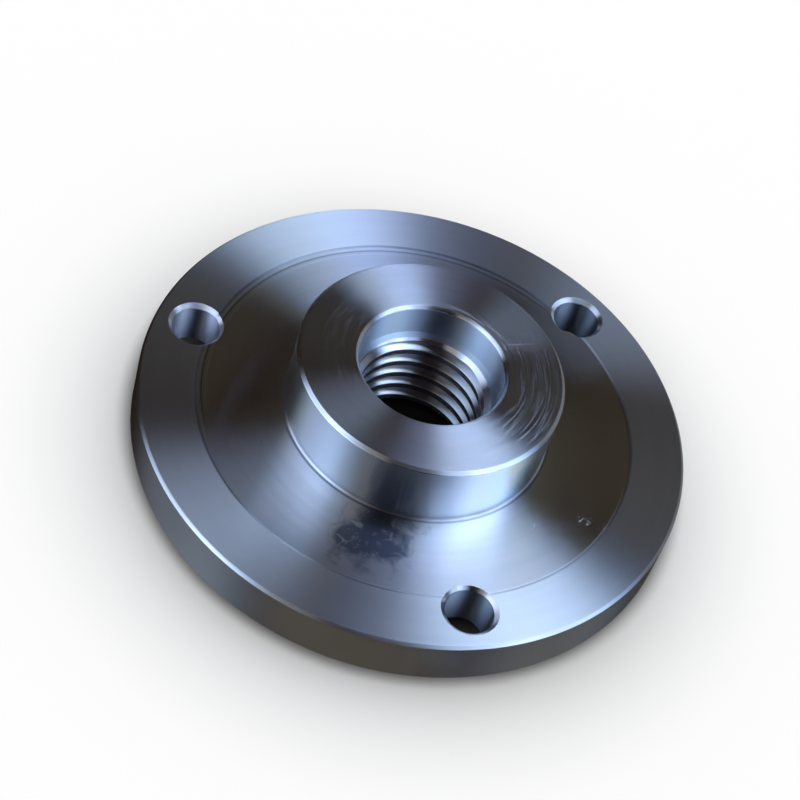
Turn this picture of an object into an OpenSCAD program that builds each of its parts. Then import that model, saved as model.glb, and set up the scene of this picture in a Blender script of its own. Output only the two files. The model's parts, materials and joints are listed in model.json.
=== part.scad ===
// Chuck back plate: a steel disc with a spindle hub, turned in one piece.
// Z is the spindle axis. Z = 0 is the face of the spigot that locates the chuck, and the hub is at the top.

/* [Spigot] */
// Diameter of the spigot that enters the recess of the chuck
spigot_d = 72; // [60:0.5:130]
// Height of the spigot
spigot_h = 3; // [2:0.25:6]
// Width of the chamfer around the spigot
spigot_chamfer = 0.6; // [0.2:0.1:1]
// Width of the relief groove in the corner of the spigot
relief_w = 0.8; // [0.4:0.05:0.9]
// Depth of the relief groove
relief_h = 0.3; // [0.1:0.1:0.6]

/* [Bolt holes] */
// Number of bolt holes
bolt_count = 3; // [2:1:6]
// Distance from the wall of the spigot to the centre of a bolt hole
bolt_inset = 6; // [6:0.5:10]
// Diameter of a bolt hole
bolt_d = 8.5; // [5:0.1:8.5]
// Width of the chamfer at both ends of a bolt hole
bolt_chamfer = 0.8; // [0.2:0.1:0.9]
// Angle of the first bolt hole
bolt_angle = 270; // [0:5:360]

/* [Flange] */
// Distance from the centre of a bolt hole to the outside of the flange
rim_land = 7.5; // [6:0.5:15]
// Thickness of the flange between its two faces
flange_t = 9.5; // [7:0.5:20]
// Width of the rim's edge chamfer on the hub side
rim_chamfer = 0.5; // [0.2:0.1:0.8]
// Width of the rim's edge chamfer on the chuck side
seat_chamfer = 0.5; // [0.2:0.1:0.8]
// Distance from the bolt circle to the floor of the shallow recess in the hub side of the flange
recess_inset = 2.75; // [1:0.25:5]
// Width of the sloped edge of that recess
recess_edge_w = 0.45; // [0.1:0.05:0.8]
// Depth of that recess
recess_h = 0.15; // [0.05:0.05:0.5]

/* [Hub] */
// Outside diameter of the hub
hub_d = 47.5; // [42:0.5:55]
// Height of the hub above the flange
hub_h = 12.9; // [10:0.1:30]
// Width of the chamfer around the hub's end face
hub_chamfer = 0.6; // [0.3:0.1:1.5]
// Radius of the fillet where the hub meets the flange
hub_fillet = 0.5; // [0.2:0.1:1.5]

/* [Spindle bore] */
// Major diameter of the internal thread
thread_d = 25.4; // [16:0.1:32]
// Pitch of the thread
thread_pitch = 3.175; // [1.5:0.025:4]
// Share of the pitch that stays flat at the crest of the thread
thread_land = 0.385; // [0.25:0.005:0.45]
// Angle around the bore at which the groove of the thread begins
thread_start = 50; // [0:5:360]
// Width of the exit chamfer outside the root of the thread
exit_land = 0.3; // [0.1:0.1:1]
// Radial clearance of the plain register over the root of the thread
register_gap = 0.25; // [0.1:0.05:1]
// Depth of the register from the end face of the hub
register_h = 6.5; // [4:0.5:8]
// Width of the chamfer at the mouth of the register
mouth_chamfer = 0.6; // [0.2:0.1:1.5]

/* [Hidden] */

// Smoothness of round surfaces
$fn = 180;
// Overlap that lets a cut run out of a face
run_out = 1;

// Circles that follow from the spigot and the thread
bolt_circle_r = spigot_d / 2 + bolt_inset;
flange_r = bolt_circle_r + rim_land;
recess_r = bolt_circle_r - recess_inset;
register_r = thread_d / 2 + register_gap;

// Heights of the faces, from the spigot up
seat_z = spigot_h;
flange_z = seat_z + flange_t;
floor_z = flange_z - recess_h;
hub_z = flange_z + hub_h;
register_z = hub_z - register_h;

// Thread section: 60 degree flanks from the flat crest down to the narrow root that a pointed tool leaves
flank_rise = tan(30);
thread_root_w = thread_pitch / 32;
thread_depth = ((1 - thread_land) * thread_pitch - thread_root_w) / (2 * flank_rise);
thread_root_r = thread_d / 2;
thread_crest_r = thread_root_r - thread_depth;
// The cutter reaches past the crest by this much, which is less than would make its turns meet
thread_reach = thread_pitch / 10;
thread_steps = 36;
thread_from_z = -3 / 4 * thread_pitch;
thread_to_z = register_z + 3 / 4 * thread_pitch;
thread_slices = ceil((thread_to_z - thread_from_z) / thread_pitch * thread_steps);

// Half of the outline of the blank, as radius and height, without the corner fillet
blank_outline = [
    [0, 0],
    [spigot_d / 2 - spigot_chamfer, 0],
    [spigot_d / 2, spigot_chamfer],
    [spigot_d / 2, seat_z + relief_h],
    [spigot_d / 2 + relief_w, seat_z + relief_h],
    [spigot_d / 2 + relief_w, seat_z],
    [flange_r - seat_chamfer, seat_z],
    [flange_r, seat_z + seat_chamfer],
    [flange_r, flange_z - rim_chamfer],
    [flange_r - rim_chamfer, flange_z],
    [recess_r + recess_edge_w, flange_z],
    [recess_r, floor_z],
    [hub_d / 2, floor_z],
    [hub_d / 2, hub_z - hub_chamfer],
    [hub_d / 2 - hub_chamfer, hub_z],
    [0, hub_z]
];

// Blank with every outside surface turned
module turned_blank() {
    rotate_extrude()
        polygon(blank_outline);
    hub_corner();
}

// Fillet between the hub and the floor of the recess
module hub_corner() {
    rotate_extrude()
        translate([hub_d / 2, floor_z])
            difference() {
                translate([-run_out, -run_out])
                    square(run_out + hub_fillet);
                translate([hub_fillet, hub_fillet])
                    circle(hub_fillet, $fn = 48);
            }
}

// Plain register, its chamfered mouth and the cone that leads into the thread
module register_cut() {
    translate([0, 0, register_z])
        cylinder(r = register_r, h = register_h + run_out);
    translate([0, 0, hub_z - mouth_chamfer])
        cylinder(r1 = register_r, r2 = register_r + mouth_chamfer + run_out, h = mouth_chamfer + run_out);
    translate([0, 0, register_z - (register_r - thread_crest_r)])
        cylinder(r1 = thread_crest_r, r2 = register_r, h = register_r - thread_crest_r);
}

// Bore to the crest of the thread, with a chamfer at the spigot
module thread_bore_cut() {
    exit_h = thread_depth + exit_land;
    translate([0, 0, -run_out])
        cylinder(r = thread_crest_r, h = register_z + run_out);
    translate([0, 0, -run_out])
        cylinder(r1 = thread_crest_r + exit_h + run_out, r2 = thread_crest_r, h = exit_h + run_out);
}

// Section of the thread's groove at height z and angle a, from the open side to the root and back
function groove_section(z, a) =
    let (inner_r = thread_crest_r - thread_reach)
    let (inner_w = thread_root_w / 2 + (thread_root_r - inner_r) * flank_rise)
    let (section = [
        [inner_r, -inner_w],
        [thread_root_r, -thread_root_w / 2],
        [thread_root_r, thread_root_w / 2],
        [inner_r, inner_w]
    ])
    [for (p = section) [p[0] * cos(a), p[0] * sin(a), z + p[1]]];

// Right-hand helical groove: the section is carried up one pitch for each turn
module thread_groove() {
    points = [
        for (i = [0 : thread_slices])
            let (turn = i / thread_steps)
            each groove_section(thread_from_z + turn * thread_pitch, thread_start + 360 * turn)
    ];
    sides = [
        for (i = [0 : thread_slices - 1], k = [0 : 3])
            let (a = 4 * i + k)
            let (b = 4 * i + (k + 1) % 4)
            each [[a, b + 4, a + 4], [a, b, b + 4]]
    ];
    last = 4 * thread_slices;
    ends = [[0, 2, 1], [0, 3, 2], [last, last + 1, last + 2], [last, last + 2, last + 3]];
    polyhedron(points, concat(sides, ends));
}

// Bolt hole through the flange, chamfered on both faces
module bolt_cut() {
    bolt_r = bolt_d / 2;
    cone_h = bolt_chamfer + run_out;
    translate([0, 0, seat_z - run_out])
        cylinder(r = bolt_r, h = flange_t + 2 * run_out);
    translate([0, 0, flange_z - bolt_chamfer])
        cylinder(r1 = bolt_r, r2 = bolt_r + cone_h, h = cone_h);
    translate([0, 0, seat_z - run_out])
        cylinder(r1 = bolt_r + cone_h, r2 = bolt_r, h = cone_h);
}

// Bolt holes evenly spaced on their circle
module bolt_holes() {
    for (i = [0 : bolt_count - 1])
        rotate(bolt_angle + i * 360 / bolt_count)
            translate([bolt_circle_r, 0, 0])
                bolt_cut();
}

// The whole plate is one solid
module back_plate() {
    color("lightsteelblue")
        difference() {
            turned_blank();
            register_cut();
            thread_bore_cut();
            thread_groove();
            bolt_holes();
        }
}

back_plate();
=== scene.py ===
"""Turned steel back plate for a lathe chuck, lying on its spigot on a pale floor with its hub up."""
import functools
import json
import math

import bmesh
import bpy
import numpy as np
from mathutils import Matrix, Vector


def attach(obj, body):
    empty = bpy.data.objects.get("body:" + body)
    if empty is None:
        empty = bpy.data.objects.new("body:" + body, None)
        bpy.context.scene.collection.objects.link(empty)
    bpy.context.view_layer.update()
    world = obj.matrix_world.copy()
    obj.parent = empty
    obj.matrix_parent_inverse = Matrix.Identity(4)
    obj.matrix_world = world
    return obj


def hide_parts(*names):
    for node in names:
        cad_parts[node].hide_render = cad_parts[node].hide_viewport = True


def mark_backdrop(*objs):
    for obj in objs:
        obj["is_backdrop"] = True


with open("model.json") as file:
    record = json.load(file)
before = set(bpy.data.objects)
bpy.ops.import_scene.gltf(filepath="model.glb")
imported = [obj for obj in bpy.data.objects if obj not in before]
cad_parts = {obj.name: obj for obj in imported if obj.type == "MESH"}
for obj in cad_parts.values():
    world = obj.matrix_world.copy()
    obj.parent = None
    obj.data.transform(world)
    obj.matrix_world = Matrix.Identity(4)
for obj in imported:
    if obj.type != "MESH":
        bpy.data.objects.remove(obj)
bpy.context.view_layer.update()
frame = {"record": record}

MM = 0.001

# Sizes that the frame gives: the radii and heights of the mounts
mounts = {m["name"]: m for m in frame["record"]["mounts"]}
CREST_R = mounts["spindle_thread"]["dims"]["r_mm"] * MM
REGISTER_R = mounts["spindle_register"]["dims"]["r_mm"] * MM
SPIGOT_R = mounts["chuck_spigot"]["dims"]["r_mm"] * MM
BOLT_CIRCLE_R = mounts["chuck_bolts"]["dims"]["pcd_mm"] / 2 * MM
BOLT_R = mounts["chuck_bolts"]["dims"]["hole_r_mm"] * MM
BOLT_COUNT = mounts["chuck_bolts"]["dims"]["count"]
SEAT_Z = mounts["chuck_seat"]["pos_m"][2]
HUB_Z = mounts["spindle_shoulder_face"]["pos_m"][2]

# Sizes of the turned forms
FLANGE_R = BOLT_CIRCLE_R + 7.5 * MM
FLANGE_Z = SEAT_Z + 9.5 * MM
RIM_CHAMFER = 0.5 * MM
SEAT_CHAMFER = 0.5 * MM
SPIGOT_CHAMFER = 0.6 * MM
RELIEF_W = 0.8 * MM
RELIEF_H = 0.3 * MM
RECESS_R = BOLT_CIRCLE_R - 2.75 * MM
RECESS_EDGE_W = 0.45 * MM
RECESS_H = 0.15 * MM
HUB_R = 23.75 * MM
HUB_CHAMFER = 0.6 * MM
HUB_FILLET = 0.5 * MM
MOUTH_CHAMFER = 0.6 * MM
REGISTER_Z = HUB_Z - 6.5 * MM
BOLT_CHAMFER = 0.8 * MM
BOLT_BEARINGS = [math.radians(270 + 360 * k / BOLT_COUNT) for k in range(BOLT_COUNT)]
RECESS_Z = FLANGE_Z - RECESS_H

# Sizes of the thread, with the angle in degrees and the height at which its groove starts
PITCH = 3.175 * MM
FLANK_ANGLE = math.radians(30)
ROOT_W = PITCH / 32
CREST_W = 0.385 * PITCH
THREAD_DEPTH = (PITCH - CREST_W - ROOT_W) / (2 * math.tan(FLANK_ANGLE))
ROOT_R = CREST_R + THREAD_DEPTH
EXIT_R = ROOT_R + 0.3 * MM
THREAD_START = 50
THREAD_FROM_Z = -3 / 4 * PITCH

# Fineness of the mesh: columns around the axis and beside a hole, degrees between the rows that a hole
# cuts, the breaking of edges and of the thread's corners, the reach within which points become one, and the
# sharp angle
COLUMNS = 240
HOLE_COLUMNS = 6
HOLE_STEP = 6
EDGE_ROUND = 0.07 * MM
EDGE_STEPS = 3
EDGE_SUPPORT = 0.12 * MM
THREAD_ROUND = 0.04 * MM
THREAD_SAMPLES = 5
MERGE = 0.001 * MM
SHARP_ANGLE = 32

# Rows across the recess edge, as shares of its width, and the radii between which the faces have the bolt
# holes
RECESS_EDGE_ROWS = np.array([-0.3, 0, 0.25, 0.5, 0.75, 1, 1.3])
DRILLED_INNER = RECESS_R - 3.2 * MM
DRILLED_OUTER = FLANGE_R - 1.5 * MM


def rounded(corners, radius=EDGE_ROUND):
    """Outline whose inner corners are broken.

    Each corner becomes an arc that touches both of its sides, and a point is kept a little way past each
    end of the arc, so that the flats beside it shade flat. The arc is the blend of the two radii to its
    ends that keeps its length, by the sines of the angles on either side.
    """
    corners = np.asarray(corners, float)
    pieces = [corners[:1]]
    t = np.linspace(0, 1, EDGE_STEPS + 1)[:, None]
    for before, corner, after in zip(corners[:-2], corners[1:-1], corners[2:]):
        to_before = (before - corner) / np.linalg.norm(before - corner)
        to_after = (after - corner) / np.linalg.norm(after - corner)
        half = math.acos(max(-1, min(1, to_before @ to_after))) / 2
        reach = radius / math.tan(half)
        middle = to_before + to_after
        centre = corner + middle / np.linalg.norm(middle) * radius / math.sin(half)
        first, last = corner + to_before * reach, corner + to_after * reach
        turn = math.pi - 2 * half
        blend = np.sin((1 - t) * turn) * (first - centre) + np.sin(t * turn) * (last - centre)
        arc = centre + blend / math.sin(turn)
        pieces += [first[None] + to_before * EDGE_SUPPORT, arc, last[None] + to_after * EDGE_SUPPORT]
    pieces.append(corners[-1:])
    return np.vstack(pieces)


def turned(outline):
    """Surface of revolution: a point (r, z) of the outline goes to (r cos a, r sin a, z) at each angle a."""
    a = np.linspace(0, 2 * np.pi, COLUMNS + 1)
    r, z = outline[:, :1], outline[:, 1:]
    return np.stack([r * np.cos(a), r * np.sin(a), z + 0 * a], axis=-1)


def face_height(r):
    """Height of the flange's hub side at radius r: recess floor, slope of its edge, outer land."""
    rise = np.clip((r - RECESS_R) / RECESS_EDGE_W, 0, 1)
    return FLANGE_Z - RECESS_H * (1 - rise)


def hole_rows(inner_r, outer_r):
    """Radii of the rows across the hub side of the flange, with the hole's edge radius at each row.

    The rows that a bolt hole cuts lie where its edge circle passes at even angles, and extra rows follow
    both sides of the recess edge. The chamfer's cone meets the lower recess floor at a smaller circle.
    """
    edge_high = BOLT_R + BOLT_CHAMFER
    edge_low = edge_high - RECESS_H
    around = np.radians(np.arange(0, 181, HOLE_STEP))
    high = BOLT_CIRCLE_R + edge_high * np.cos(around)
    low = BOLT_CIRCLE_R + edge_low * np.cos(around)
    step = RECESS_R + RECESS_EDGE_W * RECESS_EDGE_ROWS
    rows = np.concatenate([
        [outer_r, outer_r - EDGE_SUPPORT],
        high[high > step.max() + EDGE_SUPPORT],
        step,
        low[low < step.min() - EDGE_SUPPORT],
        [inner_r + EDGE_SUPPORT, inner_r],
    ])
    rows = np.sort(rows)
    edge = edge_high - (FLANGE_Z - face_height(rows))
    return rows, edge


def hole_bearing(rows, edge):
    """Angle at the bolt hole's centre, from outwards, at which its edge circle crosses each row.

    It comes from the law of cosines, and is 0 or 180 degrees for a row that passes the circle by.
    """
    cosine = (rows**2 - BOLT_CIRCLE_R**2 - edge**2) / (2 * BOLT_CIRCLE_R * edge)
    return np.arccos(np.clip(cosine, -1, 1))


def drilled_ring(rows, edge, height):
    """Flat ring with the bolt holes left open, as grids of rows by columns.

    A row is an arc of radius r. Between the holes its columns are even in angle. Beside a hole they run
    from the edge of the hole's sector to the point where the row meets the hole's edge circle, at the angle
    off the hole's own bearing that the law of cosines gives. Past the hole that angle is nothing, so both
    halves meet.
    """
    r = rows[:, None]
    cosine = (rows**2 + BOLT_CIRCLE_R**2 - edge**2) / (2 * rows * BOLT_CIRCLE_R)
    opening = np.arccos(np.clip(cosine, -1, 1))[:, None]
    column = 2 * np.pi / COLUMNS
    sector = HOLE_COLUMNS * column
    between = 2 * np.pi / BOLT_COUNT - 2 * sector
    t = np.linspace(0, 1, HOLE_COLUMNS + 1)
    plain = sector + np.linspace(0, 1, round(between / column) + 1) * between
    grids = []
    for bearing in BOLT_BEARINGS:
        for a in (-sector + (sector - opening) * t, opening + (sector - opening) * t, plain + 0 * r):
            x, y = r * np.cos(bearing + a), r * np.sin(bearing + a)
            grids.append(np.stack([x, y, height[:, None] + 0 * a], axis=-1))
    return grids


def hole_wall(bearing, levels):
    """Wall of one bolt hole: each level is a ring of radii and heights by angle about the hole's axis."""
    angle, radii, heights = levels
    full = np.concatenate([angle, -angle[::-1]])
    rho = np.concatenate([radii, radii[:, ::-1]], axis=1)
    z = np.concatenate([heights, heights[:, ::-1]], axis=1)
    out = BOLT_CIRCLE_R + rho * np.cos(full)
    side = rho * np.sin(full)
    return np.stack([
        out * math.cos(bearing) - side * math.sin(bearing),
        out * math.sin(bearing) + side * math.cos(bearing),
        z,
    ], axis=-1)


def bolt_wall_levels(angle, edge, top):
    """Radii and heights of a bolt hole, from its upper edge past chamfers and bore to its lower edge."""
    one = np.ones_like(angle)
    upper, lower = FLANGE_Z - BOLT_CHAMFER, SEAT_Z + BOLT_CHAMFER
    small = EDGE_SUPPORT / 2
    fixed = [
        (BOLT_R + small, upper + small),
        (BOLT_R, upper),
        (BOLT_R, upper - EDGE_SUPPORT),
        (BOLT_R, (upper + lower) / 2),
        (BOLT_R, lower + EDGE_SUPPORT),
        (BOLT_R, lower),
        (BOLT_R + small, lower - small),
        (BOLT_R + BOLT_CHAMFER, SEAT_Z),
    ]
    radii = np.vstack([edge] + [r * one for r, z in fixed])
    heights = np.vstack([top] + [z * one for r, z in fixed])
    return angle, radii, heights


def thread_radius(s):
    """Radius of the thread at distance s along the axis from the middle of its groove.

    The root is a narrow flat, the flanks fall at 30 degrees to the radius, and the crest is a wide flat.
    The corners are broken by the mean of five nearby radii.
    """
    offsets = np.linspace(-THREAD_ROUND, THREAD_ROUND, THREAD_SAMPLES)
    away = np.abs((s[..., None] + offsets + PITCH / 2) % PITCH - PITCH / 2)
    fall = np.clip(away - ROOT_W / 2, 0, None) / math.tan(FLANK_ANGLE)
    return (ROOT_R - np.minimum(fall, THREAD_DEPTH)).mean(axis=-1)


def thread_rows():
    """Distances along one pitch, from the middle of the groove, at which the rows of the thread lie.

    They stand close at the corners of the root and the crest and further apart on the flanks, the same on
    both sides.
    """
    root, crest = ROOT_W / 2, (PITCH - CREST_W) / 2
    close, wide = 0.05 * MM, 0.2 * MM
    half = np.concatenate([
        [0.005 * MM],
        [root, root + close],
        np.linspace(root + wide, crest - wide, 4),
        [crest - close, crest, crest + close],
        [crest + wide, PITCH / 2 - 0.12 * MM],
    ])
    return np.concatenate([-half[::-1], half])


def bore_sheet():
    """Inner surface of the threaded bore.

    Its rows climb one pitch a turn, so that they follow the thread, and are held between the two end
    circles. At each point the radius is the largest of the thread's, the lead-in cone's and the exit
    cone's. The last column is the first one a pitch higher, so that the sheet closes.
    """
    one = thread_rows()
    per_pitch = len(one)
    turns = math.ceil((REGISTER_Z + 2 * PITCH) / PITCH) + 3
    groove_z = THREAD_FROM_Z - PITCH * THREAD_START / 360
    first = math.floor((-2 * PITCH - groove_z) / PITCH)
    base = (groove_z + (first + np.arange(turns))[:, None] * PITCH + one).ravel()
    a = np.linspace(0, 2 * np.pi, COLUMNS + 1)[:-1]
    climb = PITCH * a / (2 * np.pi)
    z = np.clip(base[:, None] + climb, 0, REGISTER_Z)
    r = thread_radius(z - climb - groove_z)
    r = np.maximum(r, REGISTER_R - (REGISTER_Z - z))
    r = np.maximum(r, EXIT_R - z)
    r[z >= REGISTER_Z] = REGISTER_R
    r[z <= 0] = EXIT_R
    points = np.stack([r * np.cos(a), r * np.sin(a), z], axis=-1)
    return np.concatenate([points[:-per_pitch], points[per_pitch:, :1]], axis=1)


def plate_outlines():
    """Half sections of the plate's chuck side, rim and hub side, from the bore outwards and back."""
    chuck_side = rounded([
        (EXIT_R, 0),
        (SPIGOT_R - SPIGOT_CHAMFER, 0),
        (SPIGOT_R, SPIGOT_CHAMFER),
        (SPIGOT_R, SEAT_Z + RELIEF_H),
        (SPIGOT_R + RELIEF_W, SEAT_Z + RELIEF_H),
        (SPIGOT_R + RELIEF_W, SEAT_Z),
    ])
    rim = rounded([
        (DRILLED_OUTER, SEAT_Z),
        (FLANGE_R - SEAT_CHAMFER, SEAT_Z),
        (FLANGE_R, SEAT_Z + SEAT_CHAMFER),
        (FLANGE_R, FLANGE_Z - RIM_CHAMFER),
        (FLANGE_R - RIM_CHAMFER, FLANGE_Z),
        (DRILLED_OUTER, FLANGE_Z),
    ])
    hub_middle = (HUB_R, (FLANGE_Z + HUB_Z) / 2)
    hub_foot = rounded([
        (DRILLED_INNER, RECESS_Z),
        (HUB_R, RECESS_Z),
        hub_middle,
    ], HUB_FILLET)
    hub_top = rounded([
        hub_middle,
        (HUB_R, HUB_Z - HUB_CHAMFER),
        (HUB_R - HUB_CHAMFER, HUB_Z),
        (REGISTER_R + MOUTH_CHAMFER, HUB_Z),
        (REGISTER_R, HUB_Z - MOUTH_CHAMFER),
        (REGISTER_R, REGISTER_Z),
    ])
    return chuck_side, rim, np.vstack([hub_foot, hub_top[1:]])


def plate_grids():
    """All grids of the plate's closed surface.

    The rows of the seat are those that the hub side's rows become where each is carried down its hole at
    one angle about the hole's axis, from the law of cosines, so the hole's wall meets both faces point for
    point.
    """
    chuck_side, rim, hub_side = plate_outlines()
    rows, edge = hole_rows(DRILLED_INNER, DRILLED_OUTER)
    upper = face_height(rows)
    angle = hole_bearing(rows, edge)
    cut = np.abs(rows - BOLT_CIRCLE_R) <= edge * (1 + 1e-9)
    seat_edge = np.where(cut, BOLT_R + BOLT_CHAMFER, 0)
    seat_rows = np.sqrt(BOLT_CIRCLE_R**2 + seat_edge**2 + 2 * BOLT_CIRCLE_R * seat_edge * np.cos(angle))
    seat_rows = seat_rows[cut]
    seat_edge = seat_edge[cut]
    seat_rows = np.concatenate([[SPIGOT_R + RELIEF_W], seat_rows, [DRILLED_OUTER]])
    seat_edge = np.concatenate([seat_edge[:1], seat_edge, seat_edge[:1]])
    seat_height = np.full(len(seat_rows), SEAT_Z)
    grids = [turned(chuck_side), turned(rim), turned(hub_side), bore_sheet()]
    grids += drilled_ring(rows, edge, upper)
    grids += drilled_ring(seat_rows, seat_edge, seat_height)
    levels = bolt_wall_levels(angle[cut], edge[cut], upper[cut])
    grids += [hole_wall(bearing, levels) for bearing in BOLT_BEARINGS]
    return grids


def joined(name, grids):
    """One closed mesh from grids of points: four neighbours make a face, and points that meet become one."""
    points, faces, start = [], [], 0
    for grid in grids:
        rows, columns = grid.shape[:2]
        index = start + np.arange(rows * columns).reshape(rows, columns)
        corners = [index[:-1, :-1], index[:-1, 1:], index[1:, 1:], index[1:, :-1]]
        faces.append(np.stack(corners, axis=-1).reshape(-1, 4))
        points.append(grid.reshape(-1, 3))
        start += rows * columns
    mesh = bpy.data.meshes.new(name)
    mesh.from_pydata(np.vstack(points).tolist(), [], np.vstack(faces).tolist())
    shell = bmesh.new()
    shell.from_mesh(mesh)
    bmesh.ops.remove_doubles(shell, verts=shell.verts, dist=MERGE)
    bmesh.ops.dissolve_degenerate(shell, edges=shell.edges, dist=MERGE / 10)
    bmesh.ops.recalc_face_normals(shell, faces=shell.faces)
    shell.to_mesh(mesh)
    shell.free()
    mesh.shade_smooth()
    mesh.set_sharp_from_angle(angle=math.radians(SHARP_ANGLE))
    piece = bpy.data.objects.new(name, mesh)
    bpy.context.scene.collection.objects.link(piece)
    return piece


# Colours of the steel, of the painted brown reflection on the recess floor, the stain and the worn edges on
# it, of painted reflections, highlight and shade on the rim, register and hub wall, and of painted shade and
# light on the walls of the bolt holes
STEEL_COOL = (0.76, 0.755, 0.79, 1)
STEEL_WARM = (0.80, 0.755, 0.765, 1)
STEEL_DULL = (0.68, 0.68, 0.68, 1)
# The bright steel also paints the highlight lines, and the stain's colour also paints the shade lines
STEEL_BRIGHT_AND_HIGHLIGHT = (0.92, 0.92, 0.92, 1)
STAIN_AND_SHADE = (0.23, 0.26, 0.33, 1)
# Painted brown reflection on the recess floor: darker on the right, lighter on the left
RECESS_REFLECTION_DARK = (0.63, 0.535, 0.395, 1)
RECESS_REFLECTION_LIGHT = (0.83, 0.775, 0.645, 1)
# Painted bluish reflection on the register
REGISTER_REFLECTION = (0.66, 0.74, 0.84, 1)
# Painted brownish reflection on the rim, darker on its right side
RIM_REFLECTION = (0.72, 0.68, 0.62, 1)
RIM_REFLECTION_DARK = (0.61, 0.52, 0.43, 1)
# Painted bluish reflection on the hub's wall, with a painted highlight at the front and painted shade on the
# right
WALL_REFLECTION = (0.71, 0.765, 0.81, 1)
WALL_HIGHLIGHT = (0.72, 0.84, 0.98, 1)
WALL_SHADE = (0.34, 0.50, 0.70, 1)
# Painted shade on the walls of the bolt holes, lighter with painted light on the left
HOLE_WALL_SHADE = (0.34, 0.38, 0.45, 1)
HOLE_WALL_LIGHT = (0.60, 0.62, 0.70, 1)

# Distance in millimetres over which the edge of a zone fades to each side
MASK_SOFT = 0.08

# Zones of the turned surface in millimetres: inner and outer radius, lowest and highest height
LAND = (39.4, 49.2, 12.3, 13)
RECESS = (24.0, 39.2, 12.0, 12.45)
RIM = (49.3, 50, 2.5, 12.2)
RIM_EDGE = (48.95, 49.55, 11.95, 12.6)
HUB_WALL = (23.6, 24.0, 12.8, 24.8)
HUB_WALL_POLISH = (23.3, 24.0, 12.8, 24.9)
HUB_EDGE = (23.1, 23.8, 24.75, 25.5)
REGISTER = (12.2, 13.1, 17.8, 24.9)

# Heights between which the flange's face lies, and the radius and height within which the bore lies, in
# millimetres
FLANGE_FACE = (12.2, 13)
BORE_MOUTH = (13.3, 25.1)

# Sectors of the plate, where the painted reflections, the painted highlight and the painted shade lie:
# bearing from the axis, and the cosine of half the angle that each takes up
REFLECTION_SECTOR_RIGHT = ((0.917, -0.399, 0), 0.835)
REFLECTION_SECTOR_LEFT = ((-0.91, 0.42, 0), 0.84)
RIM_REFLECTION_SECTOR = ((0.38, -0.92, 0), 0.85)
# Sectors of the hub's wall with the painted highlight and the painted shade
WALL_HIGHLIGHT_SECTOR = ((0.469, -0.883, 0), 0.991)
WALL_SHADE_SECTOR = ((0.69, -0.724, 0), 0.984)

# Tool marks: lines per millimetre, and how much they wander around the axis
FINE_MARKS = (2.6, 1.5)
BROAD_MARKS = (0.55, 1.2)

# Smudges on the recess floor: centre and size in millimetres. Then how finely and how strongly their edges
# are torn
STAIN_SPOTS = [((-12.8, -25.6), 6.2), ((-16.5, -27.0), 5.0)]
STAIN_RAGS = (0.25, 1.4)
SPECK_SPOTS = [((15.8, -25.8), 1.1), ((25.2, -25.3), 1.4), ((28.0, -27.0), 0.9)]
SPECK_RAGS = (1.2, 1.0)

# Painted shade lines and painted highlight lines around the axis on the flange's face, each only near one
# bearing: radius and half width in millimetres, strength, bearing and spread
BACK, SIDE, NEAR = (-0.34, 0.94, 0), (-0.94, 0.34, 0), (0.26, -0.97, 0)
SHADE_RINGS = [
    (39.45, 0.30, 0.8, BACK, 0.9),
    (38.35, 0.20, 0.6, BACK, 0.8),
    (39.45, 0.20, 0.45, SIDE, 1.2),
    (24.25, 0.32, 0.8, NEAR, 1.3),
]
HIGHLIGHT_RINGS = [
    (38.85, 0.18, 0.7, BACK, 0.9),
    (37.6, 0.18, 0.4, BACK, 0.8),
    (39.2, 0.20, 0.8, NEAR, 0.4),
]

# Arcs on the hub's face: inner and outer radius in millimetres, bearing, spread, lines per millimetre and
# width
CLEAR_ARCS = [
    (14.8, 23.4, (0.88, -0.47, 0), 0.42, 2.7, 0.07),
    (13.5, 15.3, (0.45, 0.89, 0), 1.1, 2.2, 0.05),
]
FAINT_ARCS = (13.8, 20.0, (-0.9, 0.43, 0), 0.3, 2.4, 0.05)

# Straight scratch on the hub's face: middle, direction, half length and half width in millimetres
SCRATCH = ((16.8 * MM, 3.9 * MM, HUB_Z), (1, 0, 0), 3.0, 0.16)


def add_node(tree, kind, inputs=None, **settings):
    """Adds a node, sets its properties, and sets or links each input by its name or number."""
    made = tree.nodes.new(kind)
    for key, value in settings.items():
        setattr(made, key, value)
    for key, value in (inputs or {}).items():
        if isinstance(value, bpy.types.NodeSocket):
            tree.links.new(value, made.inputs[key])
        else:
            made.inputs[key].default_value = value
    return made


def math_node(tree, operation, *values, clamp=False):
    """Output of a Math node on up to three values or sockets."""
    made = add_node(tree, "ShaderNodeMath", dict(enumerate(values)), operation=operation, use_clamp=clamp)
    return made.outputs[0]


def vector_node(tree, operation, *values):
    """Output of a Vector Math node on up to two vectors: a number where the operation gives one."""
    made = add_node(tree, "ShaderNodeVectorMath", dict(enumerate(values)), operation=operation)
    gives_number = operation in ("DISTANCE", "DOT_PRODUCT", "LENGTH")
    return made.outputs["Value" if gives_number else "Vector"]


def new_group(name, inputs, outputs):
    """Shader node group with the named inputs and outputs, as (group, its inputs, its output node)."""
    group = bpy.data.node_groups.new(name, "ShaderNodeTree")
    for socket, kind, value in inputs:
        made = group.interface.new_socket(socket, in_out="INPUT", socket_type=kind)
        if value is not None:
            made.default_value = value
    for socket, kind in outputs:
        group.interface.new_socket(socket, in_out="OUTPUT", socket_type=kind)
    entry = group.nodes.new("NodeGroupInput")
    leave = group.nodes.new("NodeGroupOutput")
    return group, entry.outputs, leave


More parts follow.
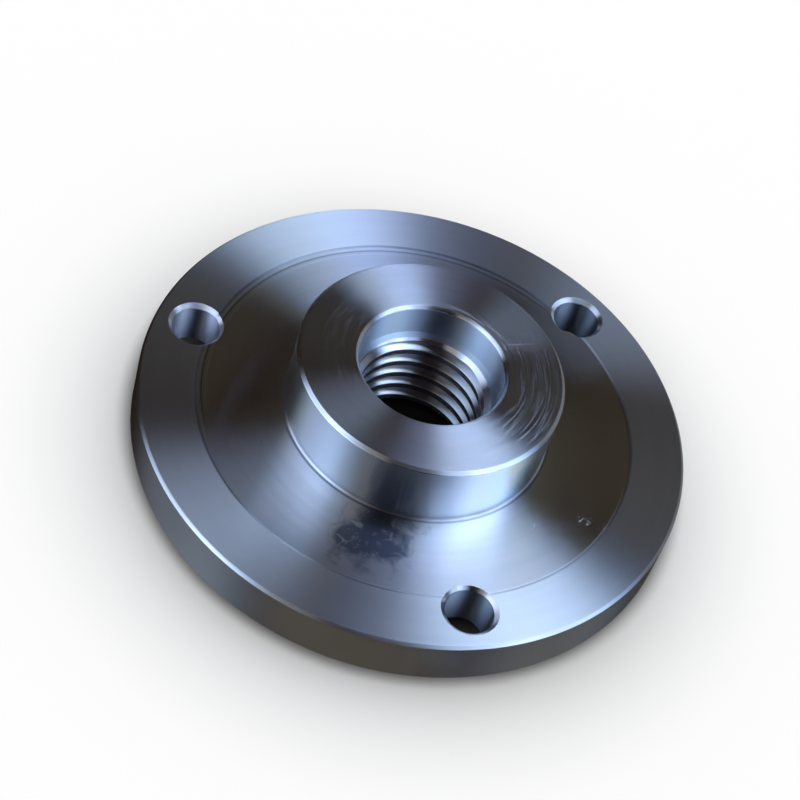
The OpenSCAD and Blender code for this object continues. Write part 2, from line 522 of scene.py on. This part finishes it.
def radius_and_height(tree, place):
    """Radius and height of each point in millimetres, with the x and y of its outward bearing."""
    axes = add_node(tree, "ShaderNodeSeparateXYZ", {0: place}).outputs
    square = math_node(tree, "MULTIPLY", axes[0], axes[0])
    radius = math_node(tree, "SQRT", math_node(tree, "MULTIPLY_ADD", axes[1], axes[1], square))
    bearing = [math_node(tree, "DIVIDE", axes[k], radius) for k in range(2)]
    return [math_node(tree, "DIVIDE", value, MM) for value in (radius, axes[2])] + bearing


def facing(tree, side, front, bearing):
    """Cosine of the angle between each point's outward bearing and a given one."""
    outwards = add_node(tree, "ShaderNodeCombineXYZ", {0: side, 1: front}).outputs[0]
    return vector_node(tree, "DOT_PRODUCT", outwards, bearing)


def smooth_step(tree, value, low, high, start=0.0, end=1.0):
    """The start value up to one limit, the end value from the other on, and a smooth passage between them."""
    limits = {0: value, 1: low, 2: high, 3: start, 4: end}
    return add_node(tree, "ShaderNodeMapRange", limits, interpolation_type="SMOOTHSTEP").outputs[0]


def band(tree, value, low, high):
    """One between two limits in millimetres and nothing outside them, with edges that fade a little."""
    rise = smooth_step(tree, value, low - MASK_SOFT, low + MASK_SOFT)
    fall = smooth_step(tree, value, high + MASK_SOFT, high - MASK_SOFT)
    return math_node(tree, "MULTIPLY", rise, fall)


def turning_marks_group():
    """Concentric marks left by the cutting tool.

    The noise runs along the radius and the height together, so it makes rings on the faces and on the
    walls, and it varies slowly around the axis.
    """
    group, given, leave = new_group(
        "turning_marks",
        [
            ("Vector", "NodeSocketVector", None),
            ("Lines per mm", "NodeSocketFloat", 3),
            ("Wander", "NodeSocketFloat", 1),
        ],
        [("Value", "NodeSocketFloat")],
    )
    radius, height, side, front = radius_and_height(group, given["Vector"])
    along = math_node(group, "MULTIPLY_ADD", height, 1.3, radius)
    place = add_node(group, "ShaderNodeCombineXYZ", {
        0: math_node(group, "MULTIPLY", along, given["Lines per mm"]),
        1: math_node(group, "MULTIPLY", side, given["Wander"]),
        2: math_node(group, "MULTIPLY", front, given["Wander"]),
    })
    noise = add_node(group, "ShaderNodeTexNoise", {"Vector": place.outputs[0], "Scale": 1.0, "Detail": 3.0})
    group.links.new(noise.outputs["Fac"], leave.inputs["Value"])
    return group


def smudge_group():
    """Patch with a ragged edge: a soft spot exp(-(distance / size) squared), torn by noise."""
    group, given, leave = new_group(
        "smudge",
        [
            ("Vector", "NodeSocketVector", None),
            ("Centre", "NodeSocketVector", None),
            ("Size mm", "NodeSocketFloat", 6),
            ("Rags per mm", "NodeSocketFloat", 0.3),
            ("Tear", "NodeSocketFloat", 1),
        ],
        [("Value", "NodeSocketFloat")],
    )
    away = vector_node(group, "DISTANCE", given["Vector"], given["Centre"])
    reach = math_node(group, "DIVIDE", math_node(group, "DIVIDE", away, MM), given["Size mm"])
    squared = math_node(group, "POWER", reach, 2.0)
    spot = math_node(group, "EXPONENT", math_node(group, "MULTIPLY", squared, -1.0))
    noise = add_node(group, "ShaderNodeTexNoise", {
        "Vector": given["Vector"],
        "Scale": math_node(group, "DIVIDE", given["Rags per mm"], MM),
        "Detail": 4.0,
        "Roughness": 0.6,
        "Distortion": 0.8,
    }).outputs["Fac"]
    torn = math_node(group, "MULTIPLY_ADD", math_node(group, "SUBTRACT", noise, 0.5), given["Tear"], spot)
    group.links.new(smooth_step(group, torn, 0.2, 0.7), leave.inputs["Value"])
    return group


def arc_scratches_group():
    """Thin arcs near one bearing from the axis, where a noise of rings passes its middle value."""
    group, given, leave = new_group(
        "arc_scratches",
        [
            ("Vector", "NodeSocketVector", None),
            ("Inner mm", "NodeSocketFloat", 16),
            ("Outer mm", "NodeSocketFloat", 22),
            ("Bearing", "NodeSocketVector", None),
            ("Spread", "NodeSocketFloat", 0.6),
            ("Lines per mm", "NodeSocketFloat", 2),
            ("Width", "NodeSocketFloat", 0.05),
        ],
        [("Value", "NodeSocketFloat")],
    )
    radius, _, side, front = radius_and_height(group, given["Vector"])
    least = math_node(group, "SUBTRACT", 1.0, given["Spread"])
    ahead = smooth_step(group, facing(group, side, front, given["Bearing"]), least, 1.0)
    rings = add_node(group, "ShaderNodeCombineXYZ", {
        0: math_node(group, "MULTIPLY", radius, given["Lines per mm"]),
        1: math_node(group, "MULTIPLY", side, 1.2),
        2: math_node(group, "MULTIPLY", front, 1.2),
    }).outputs[0]
    noise = add_node(group, "ShaderNodeTexNoise", {"Vector": rings, "Scale": 1.0, "Detail": 1.0})
    off = math_node(group, "ABSOLUTE", math_node(group, "SUBTRACT", noise.outputs["Fac"], 0.5))
    lines = smooth_step(group, math_node(group, "DIVIDE", off, given["Width"]), 1.0, 0.2)
    limits = {0: radius, 1: given["Inner mm"], 2: given["Outer mm"]}
    inside = add_node(group, "ShaderNodeMapRange", limits).outputs[0]
    outside = math_node(group, "SUBTRACT", 1.0, inside)
    hump = math_node(group, "MULTIPLY", math_node(group, "MULTIPLY", inside, outside), 4.0)
    near = math_node(group, "MULTIPLY", smooth_step(group, hump, 0.0, 0.4), ahead)
    group.links.new(math_node(group, "MULTIPLY", lines, near), leave.inputs["Value"])
    return group


def ring_line_group():
    """Thin line near one bearing from the axis: one at its radius, nothing beyond its half width."""
    group, given, leave = new_group(
        "ring_line",
        [
            ("Vector", "NodeSocketVector", None),
            ("Radius mm", "NodeSocketFloat", 38),
            ("Half width mm", "NodeSocketFloat", 0.15),
            ("Strength", "NodeSocketFloat", 1),
            ("Bearing", "NodeSocketVector", None),
            ("Spread", "NodeSocketFloat", 1),
        ],
        [("Value", "NodeSocketFloat")],
    )
    radius, height, side, front = radius_and_height(group, given["Vector"])
    off = math_node(group, "ABSOLUTE", math_node(group, "SUBTRACT", radius, given["Radius mm"]))
    line = smooth_step(group, math_node(group, "DIVIDE", off, given["Half width mm"]), 1.0, 0.4)
    line = math_node(group, "MULTIPLY", line, band(group, height, *FLANGE_FACE))
    least = math_node(group, "SUBTRACT", 1.0, given["Spread"])
    full = math_node(group, "ADD", least, 0.3)
    ahead = smooth_step(group, facing(group, side, front, given["Bearing"]), least, full)
    line = math_node(group, "MULTIPLY", line, ahead)
    group.links.new(math_node(group, "MULTIPLY", line, given["Strength"]), leave.inputs["Value"])
    return group


def zone_group():
    """One between two radii and two heights, and nothing outside them."""
    group, given, leave = new_group(
        "zone",
        [
            ("Vector", "NodeSocketVector", None),
            ("Inner mm", "NodeSocketFloat", 24),
            ("Outer mm", "NodeSocketFloat", 39),
            ("Low mm", "NodeSocketFloat", 12.2),
            ("High mm", "NodeSocketFloat", 12.5),
        ],
        [("Value", "NodeSocketFloat")],
    )
    radius, height = radius_and_height(group, given["Vector"])[:2]
    parts = []
    for value, low, high in ((radius, "Inner mm", "Outer mm"), (height, "Low mm", "High mm")):
        above = smooth_step(group, math_node(group, "SUBTRACT", value, given[low]), -MASK_SOFT, MASK_SOFT)
        below = smooth_step(group, math_node(group, "SUBTRACT", given[high], value), -MASK_SOFT, MASK_SOFT)
        parts.append(math_node(group, "MULTIPLY", above, below))
    group.links.new(math_node(group, "MULTIPLY", *parts), leave.inputs["Value"])
    return group


def sector_group():
    """One near a bearing from the axis and nothing away from it, with an edge that a noise makes uneven."""
    group, given, leave = new_group(
        "sector",
        [
            ("Vector", "NodeSocketVector", None),
            ("Bearing", "NodeSocketVector", None),
            ("Half angle cosine", "NodeSocketFloat", 0.85),
        ],
        [("Value", "NodeSocketFloat")],
    )
    side, front = radius_and_height(group, given["Vector"])[2:]
    cosine = facing(group, side, front, given["Bearing"])
    noise = add_node(group, "ShaderNodeTexNoise", {
        "Vector": given["Vector"],
        "Scale": 0.12 / MM,
        "Detail": 3.0,
    })
    off = math_node(group, "SUBTRACT", noise.outputs["Fac"], 0.5)
    ragged = math_node(group, "MULTIPLY_ADD", off, 0.25, cosine)
    past = math_node(group, "SUBTRACT", ragged, given["Half angle cosine"])
    group.links.new(smooth_step(group, past, -0.04, 0.06), leave.inputs["Value"])
    return group


def straight_scratch_group():
    """Thin straight scratch: one on a line through its middle and nothing beyond its half width.

    It fades at both ends. The distance across it is the root of the whole distance squared less the
    distance along it squared.
    """
    group, given, leave = new_group(
        "straight_scratch",
        [
            ("Vector", "NodeSocketVector", None),
            ("Middle", "NodeSocketVector", None),
            ("Along", "NodeSocketVector", None),
            ("Half length mm", "NodeSocketFloat", 2),
            ("Half width mm", "NodeSocketFloat", 0.12),
        ],
        [("Value", "NodeSocketFloat")],
    )
    offset = vector_node(group, "SUBTRACT", given["Vector"], given["Middle"])
    travel = math_node(group, "DIVIDE", vector_node(group, "DOT_PRODUCT", offset, given["Along"]), MM)
    total = math_node(group, "DIVIDE", vector_node(group, "LENGTH", offset), MM)
    along = math_node(group, "MULTIPLY", travel, travel)
    square = math_node(group, "SUBTRACT", math_node(group, "POWER", total, 2.0), along)
    across = math_node(group, "SQRT", math_node(group, "MAXIMUM", square, 0.0))
    share = math_node(group, "DIVIDE", across, given["Half width mm"])
    thin = math_node(group, "SUBTRACT", 1.0, share, clamp=True)
    reach = math_node(group, "DIVIDE", math_node(group, "ABSOLUTE", travel), given["Half length mm"])
    ends = smooth_step(group, reach, 1.0, 0.6)
    group.links.new(math_node(group, "MULTIPLY", thin, ends), leave.inputs["Value"])
    return group


def finish_zones_group():
    """Roughness of each turned zone.

    The outer land of the flange was turned more coarsely than the recess, and the wall of the hub more
    finely.
    """
    group, given, leave = new_group(
        "finish_zones",
        [
            ("Vector", "NodeSocketVector", None),
            ("Faces", "NodeSocketFloat", 0.31),
            ("Outer land", "NodeSocketFloat", 0.40),
            ("Hub wall", "NodeSocketFloat", 0.21),
            ("Bore", "NodeSocketFloat", 0.22),
        ],
        [("Value", "NodeSocketFloat")],
    )
    radius, height = radius_and_height(group, given["Vector"])[:2]
    land, wall = (
        math_node(group, "MULTIPLY", band(group, radius, *limits[:2]), band(group, height, *limits[2:]))
        for limits in (LAND, HUB_WALL_POLISH)
    )
    narrow, deep = (math_node(group, "LESS_THAN", v, limit) for v, limit in zip((radius, height), BORE_MOUTH))
    bore = math_node(group, "MULTIPLY", narrow, deep)
    with_land = add_node(group, "ShaderNodeMix", {0: land, 2: given["Faces"], 3: given["Outer land"]})
    with_wall = add_node(group, "ShaderNodeMix", {0: wall, 2: with_land.outputs[0], 3: given["Hub wall"]})
    with_bore = add_node(group, "ShaderNodeMix", {0: bore, 2: with_wall.outputs[0], 3: given["Bore"]})
    group.links.new(with_bore.outputs[0], leave.inputs["Value"])
    return group


def drilled_walls_group():
    """Mask of the walls of the bolt holes: one nearer to a hole's axis than its radius."""
    group, given, leave = new_group(
        "drilled_walls",
        [("Vector", "NodeSocketVector", None)],
        [("Value", "NodeSocketFloat")],
    )
    level = vector_node(group, "MULTIPLY", given["Vector"], (1, 1, 0))
    total = 0.0
    for bearing in BOLT_BEARINGS:
        axis = (BOLT_CIRCLE_R * math.cos(bearing), BOLT_CIRCLE_R * math.sin(bearing), 0)
        away = vector_node(group, "DISTANCE", level, axis)
        inside = math_node(group, "LESS_THAN", away, BOLT_R + MASK_SOFT * MM)
        total = math_node(group, "ADD", total, inside)
    group.links.new(total, leave.inputs["Value"])
    return group


def turned_steel():
    """Satin steel with concentric tool marks.

    The metal's sheen runs around the axis. Fine marks stand in its relief, and broad ones vary its colour
    and polish. A painted brown reflection lies on both sides of the recess floor, with a stain and small
    specks, and painted shade lines and painted highlight lines run around it near some bearings. The rim, the
    hub's wall and the register carry painted reflections, with a darker one on one side of the rim, and a
    painted highlight and a painted shade on two sectors of the hub's wall. The chamfered edges are worn
    bright, and the walls of the bolt holes are rougher and carry painted shade, lighter with painted light on
    one side. Arcs and a short scratch roughen the hub's face.
    """
    material = bpy.data.materials.new("satin_steel")
    material.use_nodes = True
    tree = material.node_tree
    tree.nodes.clear()
    place = add_node(tree, "ShaderNodeTexCoord").outputs["Object"]

    def effect(group, *values):
        """Output of a group, with the values on its inputs after Vector, in their order."""
        inputs = {"Vector": place, **{k + 1: value for k, value in enumerate(values)}}
        return add_node(tree, "ShaderNodeGroup", inputs, node_tree=group).outputs["Value"]

    def most(masks):
        return functools.reduce(lambda a, b: math_node(tree, "MAXIMUM", a, b), masks)

    def both(first, second):
        return math_node(tree, "MULTIPLY", first, second)

    def mixed(share, first, second):
        return add_node(tree, "ShaderNodeMix", {0: share, 6: first, 7: second}, data_type="RGBA").outputs[2]

    def noise(per_mm, detail, roughness=0.5, distortion=0.0):
        return add_node(tree, "ShaderNodeTexNoise", {
            "Vector": place,
            "Scale": per_mm / MM,
            "Detail": detail,
            "Roughness": roughness,
            "Distortion": distortion,
        }).outputs["Fac"]

    def smudges(spots, rags):
        return most([effect(smudge, (x * MM, y * MM, RECESS_Z), size, *rags) for (x, y), size in spots])

    marks, smudge = turning_marks_group(), smudge_group()
    arcs, ring = arc_scratches_group(), ring_line_group()
    zone, sector = zone_group(), sector_group()
    land, recess, rim, register, wall = (effect(zone, *z) for z in (LAND, RECESS, RIM, REGISTER, HUB_WALL))
    worn_edges = most([effect(zone, *z) for z in (RIM_EDGE, HUB_EDGE)])
    drilled = effect(drilled_walls_group())
    reflection_right, reflection_left, rim_reflection_sector = (effect(sector, *s) for s in (REFLECTION_SECTOR_RIGHT, REFLECTION_SECTOR_LEFT, RIM_REFLECTION_SECTOR))
    wall_highlight_sector, wall_shade_sector = (effect(sector, *s) for s in (WALL_HIGHLIGHT_SECTOR, WALL_SHADE_SECTOR))
    fine, broad = effect(marks, *FINE_MARKS), effect(marks, *BROAD_MARKS)
    stain = both(smudges(STAIN_SPOTS, STAIN_RAGS), recess)
    wisps = both(stain, smooth_step(tree, noise(0.42, 5.0, 0.6, 1.2), 0.52, 0.70))
    dark_stain = both(stain, math_node(tree, "SUBTRACT", 1.0, wisps))
    specks = both(smudges(SPECK_SPOTS, SPECK_RAGS), smooth_step(tree, noise(2.4, 1.0), 0.56, 0.64))
    shade_rings = most([effect(ring, *r) for r in SHADE_RINGS])
    highlight_rings = most([effect(ring, *r) for r in HIGHLIGHT_RINGS])
    scratches = most([effect(arcs, *a) for a in CLEAR_ARCS] + [effect(straight_scratch_group(), *SCRATCH)])
    faint = effect(arcs, *FAINT_ARCS)

    # Colour: each layer covers what lies before it, by its share
    tone = mixed(smooth_step(tree, noise(0.07, 3.0), 0.35, 0.65), STEEL_COOL, STEEL_WARM)
    for share, colour in (
        (both(smooth_step(tree, broad, 0.35, 0.65), 0.5), STEEL_DULL),
        (both(land, 0.5), STEEL_BRIGHT_AND_HIGHLIGHT),
        # Painted brown reflection on the recess floor, darker on the right and lighter on the left
        (both(reflection_right, recess), RECESS_REFLECTION_DARK),
        (both(reflection_left, recess), RECESS_REFLECTION_LIGHT),
        # Painted brownish reflection on the rim, darker on its right side
        (rim, RIM_REFLECTION),
        (both(rim, rim_reflection_sector), RIM_REFLECTION_DARK),
        # Painted bluish reflection on the register
        (register, REGISTER_REFLECTION),
        # Painted bluish reflection on the hub's wall, with a painted highlight at the front and painted shade
        # on the right
        (wall, WALL_REFLECTION),
        (both(wall, wall_highlight_sector), WALL_HIGHLIGHT),
        (both(wall, wall_shade_sector), WALL_SHADE),
        (most([worn_edges, specks]), STEEL_BRIGHT_AND_HIGHLIGHT),
        # Painted highlight lines and painted shade lines around the axis, near some bearings
        (highlight_rings, STEEL_BRIGHT_AND_HIGHLIGHT),
        (shade_rings, STAIN_AND_SHADE),
        (dark_stain, STAIN_AND_SHADE),
        # Painted shade on the walls of the bolt holes, lighter with painted light on the left
        (drilled, HOLE_WALL_SHADE),
        (both(drilled, reflection_left), HOLE_WALL_LIGHT),
    ):
        tone = mixed(share, tone, colour)

    # Roughness: that of the zone, changed a little by the broad marks, and more of it for each mask
    zones = effect(finish_zones_group())
    rough = math_node(tree, "MULTIPLY_ADD", math_node(tree, "SUBTRACT", broad, 0.5), 0.05, zones)
    for mask, more in (
        (wisps, 0.22),
        (most([specks, scratches]), 0.45),
        (highlight_rings, 0.2),
        (worn_edges, 0.04),
        (drilled, 0.25),
        (register, 0.25),
        (faint, 0.2),
    ):
        rough = math_node(tree, "MULTIPLY_ADD", mask, more, rough)

    bump = add_node(tree, "ShaderNodeBump", {"Height": fine, "Strength": 1.0, "Distance": 0.0015 * MM})
    tangent = add_node(tree, "ShaderNodeTangent", direction_type="RADIAL", axis="Z")
    shader = add_node(tree, "ShaderNodeBsdfPrincipled", {
        "Base Color": tone,
        "Metallic": 1.0,
        "Roughness": rough,
        "Anisotropic": 1.0,
        "Anisotropic Rotation": 0.25,
        "Normal": bump.outputs[0],
        "Tangent": tangent.outputs[0],
    })
    add_node(tree, "ShaderNodeOutputMaterial", {"Surface": shader.outputs[0]})
    return material


# Floor: half its width in metres, its shades, the middle of the painted shadow under the plate, and the
# distances between which the painted shadow turns paler, passes into the open floor, and the floor's
# glow begins
FLOOR_HALF = 3.0
FLOOR_WHITE = 0.9
FLOOR_SHADOW_DARK = 0.01
FLOOR_SHADE = 0.15
SHADE_MIDDLE = (0.0016, 0.0031, 0)
SHADE_PALER = (0.036, 0.044)
SHADE_END = (0.0485, 0.0535)
GLOW_START = (0.05, 0.075)


def pale_floor():
    """Pale floor under the plate, far wider than the view.

    Away from the plate a faint glow lifts it to white for the rays that see the background. Beside the
    plate it keeps the shadow, and under it a painted shadow, set a little off the axis, makes the floor dark,
    as the open bore and the bolt holes show it.
    """
    mesh = bpy.data.meshes.new("floor")
    half = FLOOR_HALF
    corners = [(-half, -half, 0), (half, -half, 0), (half, half, 0), (-half, half, 0)]
    mesh.from_pydata(corners, [], [(0, 1, 2, 3)])
    floor = bpy.data.objects.new("floor", mesh)
    bpy.context.scene.collection.objects.link(floor)
    material = bpy.data.materials.new("pale_floor")
    material.use_nodes = True
    tree = material.node_tree
    shader = tree.nodes["Principled BSDF"]
    shader.inputs["Roughness"].default_value = 1.0
    shader.inputs["Specular IOR Level"].default_value = 0.0
    place = add_node(tree, "ShaderNodeTexCoord").outputs["Object"]
    away = smooth_step(tree, vector_node(tree, "LENGTH", place), *GLOW_START)
    # Painted shadow under the plate: darkest in the middle, paler towards its edge, then the open floor
    shade = vector_node(tree, "DISTANCE", place, SHADE_MIDDLE)
    depth = smooth_step(tree, shade, *SHADE_PALER, FLOOR_SHADOW_DARK, FLOOR_SHADE)
    open_air = smooth_step(tree, shade, *SHADE_END)
    tone = add_node(tree, "ShaderNodeMix", {0: open_air, 2: depth, 3: FLOOR_WHITE}).outputs[0]
    tree.links.new(tone, shader.inputs["Base Color"])
    path = add_node(tree, "ShaderNodeLightPath").outputs
    seen = math_node(tree, "ADD", path["Is Camera Ray"], path["Is Glossy Ray"])
    seen = math_node(tree, "ADD", seen, path["Is Transmission Ray"], clamp=True)
    glow = math_node(tree, "MULTIPLY", away, math_node(tree, "MULTIPLY", seen, 1 - FLOOR_WHITE))
    shader.inputs["Emission Color"].default_value = (1, 1, 1, 1)
    tree.links.new(glow, shader.inputs["Emission Strength"])
    mesh.materials.append(material)
    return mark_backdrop(floor)


# Tent: its radius in metres, the colour between its lamps, and the rows and columns of its dome. Its ring
# begins a small gap outside the rim, has one row on the way out, and lies a little above the floor
TENT_R = 1.2
TENT_TONE = (0.018, 0.011, 0.005)
TENT_ROWS = 24
TENT_COLUMNS = 64
TENT_GAP = 0.2 * MM
TENT_MIDDLE = 0.12
TENT_LIFT = 0.3 * MM

# Soft lamps of the tent: bearing and height in degrees, distance from the middle and radius in metres, and
# colour
TENT_LAMPS = [
    (-9, 64, TENT_R, 0.34, (2.40, 3.25, 4.47)),
    (41, 73, TENT_R, 0.18, (0.73, 0.94, 1.54)),
    (176, 26, TENT_R, 0.55, (1.16, 1.45, 2.05)),
    (166, 60, TENT_R, 0.38, (0.30, 0.43, 0.60)),
    (-162, 21, TENT_R, 0.37, (0.82, 1.14, 1.65)),
    (-23, 25, TENT_R, 0.29, (0.60, 0.95, 1.75)),
    (-41, 29, TENT_R, 0.43, (0.92, 1.14, 1.28)),
    (-65, 29, TENT_R, 0.40, (0.70, 0.92, 1.52)),
    (73, 24, TENT_R, 0.10, (1.54, 2.30, 5.40)),
    (18, 13, TENT_R, 0.56, (0.25, 0.28, 0.31)),
    (-140, 40, TENT_R, 0.25, (0.55, 0.55, 0.58)),
    (19, 0, 0.075, 0.03, (0.35, 0.33, 0.34)),
    (-114, 0, 0.075, 0.03, (0.105, 0.107, 0.105)),
]


def tent_glow():
    """Glow of the tent: the sum of its lamps, each a soft disc.

    A lamp's colour is taken times exp(-(distance / radius) to the eighth power).
    """
    material = bpy.data.materials.new("tent")
    material.use_nodes = True
    tree = material.node_tree
    tree.nodes.clear()
    place = add_node(tree, "ShaderNodeTexCoord").outputs["Object"]
    total = add_node(tree, "ShaderNodeRGB").outputs[0]
    total.default_value = (*TENT_TONE, 1)
    for bearing, height, reach, size, colour in TENT_LAMPS:
        a, e = math.radians(bearing), math.radians(height)
        centre = (reach * math.cos(e) * math.cos(a), reach * math.cos(e) * math.sin(a), reach * math.sin(e))
        away = vector_node(tree, "DISTANCE", place, centre)
        eighth = math_node(tree, "POWER", math_node(tree, "DIVIDE", away, size), 8.0)
        fall = math_node(tree, "EXPONENT", math_node(tree, "MULTIPLY", eighth, -1.0))
        part = add_node(tree, "ShaderNodeVectorMath", {0: colour, "Scale": fall}, operation="SCALE")
        total = vector_node(tree, "ADD", total, part.outputs[0])
    glow = add_node(tree, "ShaderNodeEmission", {"Color": total})
    add_node(tree, "ShaderNodeOutputMaterial", {"Surface": glow.outputs[0]})
    return material


def reflection_tent():
    """Tent that only reflections show: a dome over the floor, and a ring of the same cloth around the plate.

    A point of the dome at the angles rise and turn is the radius times (cos rise cos turn, cos rise sin
    turn, sin rise), and a point of the flat ring at its distance from the axis is that distance times (cos
    turn, sin turn).
    """
    around = np.linspace(0, 2 * np.pi, TENT_COLUMNS + 1)
    rise, turn = np.meshgrid(np.linspace(0, np.pi / 2, TENT_ROWS), around, indexing="ij")
    dome = np.stack([np.cos(rise) * np.cos(turn), np.cos(rise) * np.sin(turn), np.sin(rise)], axis=-1)
    reach, turn = np.meshgrid([FLANGE_R + TENT_GAP, TENT_MIDDLE, TENT_R], around, indexing="ij")
    ring = np.stack([reach * np.cos(turn), reach * np.sin(turn), 0 * reach + TENT_LIFT], axis=-1)
    tent = joined("tent", [TENT_R * dome, ring])
    tent.data.materials.append(tent_glow())
    tent.visible_camera = False
    tent.visible_diffuse = False
    tent.visible_shadow = False
    tent.visible_transmission = False
    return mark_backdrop(tent)


# Camera: it looks at a point on the flange's face, rolled so that the plate leans as in the photograph
VIEW_AIM = Vector((-2.519, 2.431, 12.5)) * MM
VIEW_DISTANCE = 371.85 * MM
VIEW_AZIMUTH = -116.85
VIEW_ELEVATION = 48.57
VIEW_ROLL = -19.11
LENS_MM = 94.374
SENSOR_MM = 36.0
CLIP_START = 0.01


def view_camera():
    """Camera on the line from the aim point at the view's angles, turned about that line by the roll."""
    azimuth, elevation, roll = (math.radians(v) for v in (VIEW_AZIMUTH, VIEW_ELEVATION, VIEW_ROLL))
    towards = Vector((
        math.cos(elevation) * math.cos(azimuth),
        math.cos(elevation) * math.sin(azimuth),
        math.sin(elevation),
    ))
    level = (-towards).cross(Vector((0, 0, 1))).normalized()
    upright = level.cross(-towards)
    up = upright * math.cos(roll) + level * math.sin(roll)
    right = (-towards).cross(up)
    data = bpy.data.cameras.new("view")
    data.lens = LENS_MM
    data.sensor_width = SENSOR_MM
    data.clip_start = CLIP_START
    camera = bpy.data.objects.new("view", data)
    turn = Matrix((right, up, towards)).transposed().to_4x4()
    camera.matrix_world = Matrix.Translation(VIEW_AIM + towards * VIEW_DISTANCE) @ turn
    bpy.context.scene.collection.objects.link(camera)
    bpy.context.scene.camera = camera


def studio_world():
    """Soft even light on the floor."""
    world = bpy.data.worlds.new("studio")
    bpy.context.scene.world = world
    world.use_nodes = True
    world.node_tree.nodes["Background"].inputs["Color"].default_value = (1, 1, 1, 1)


view_camera()
bpy.context.scene.view_settings.view_transform = "Standard"
studio_world()
pale_floor()
reflection_tent()

plate = joined("plate", plate_grids())
plate.data.materials.append(turned_steel())
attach(plate, "root")
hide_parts("back_plate")
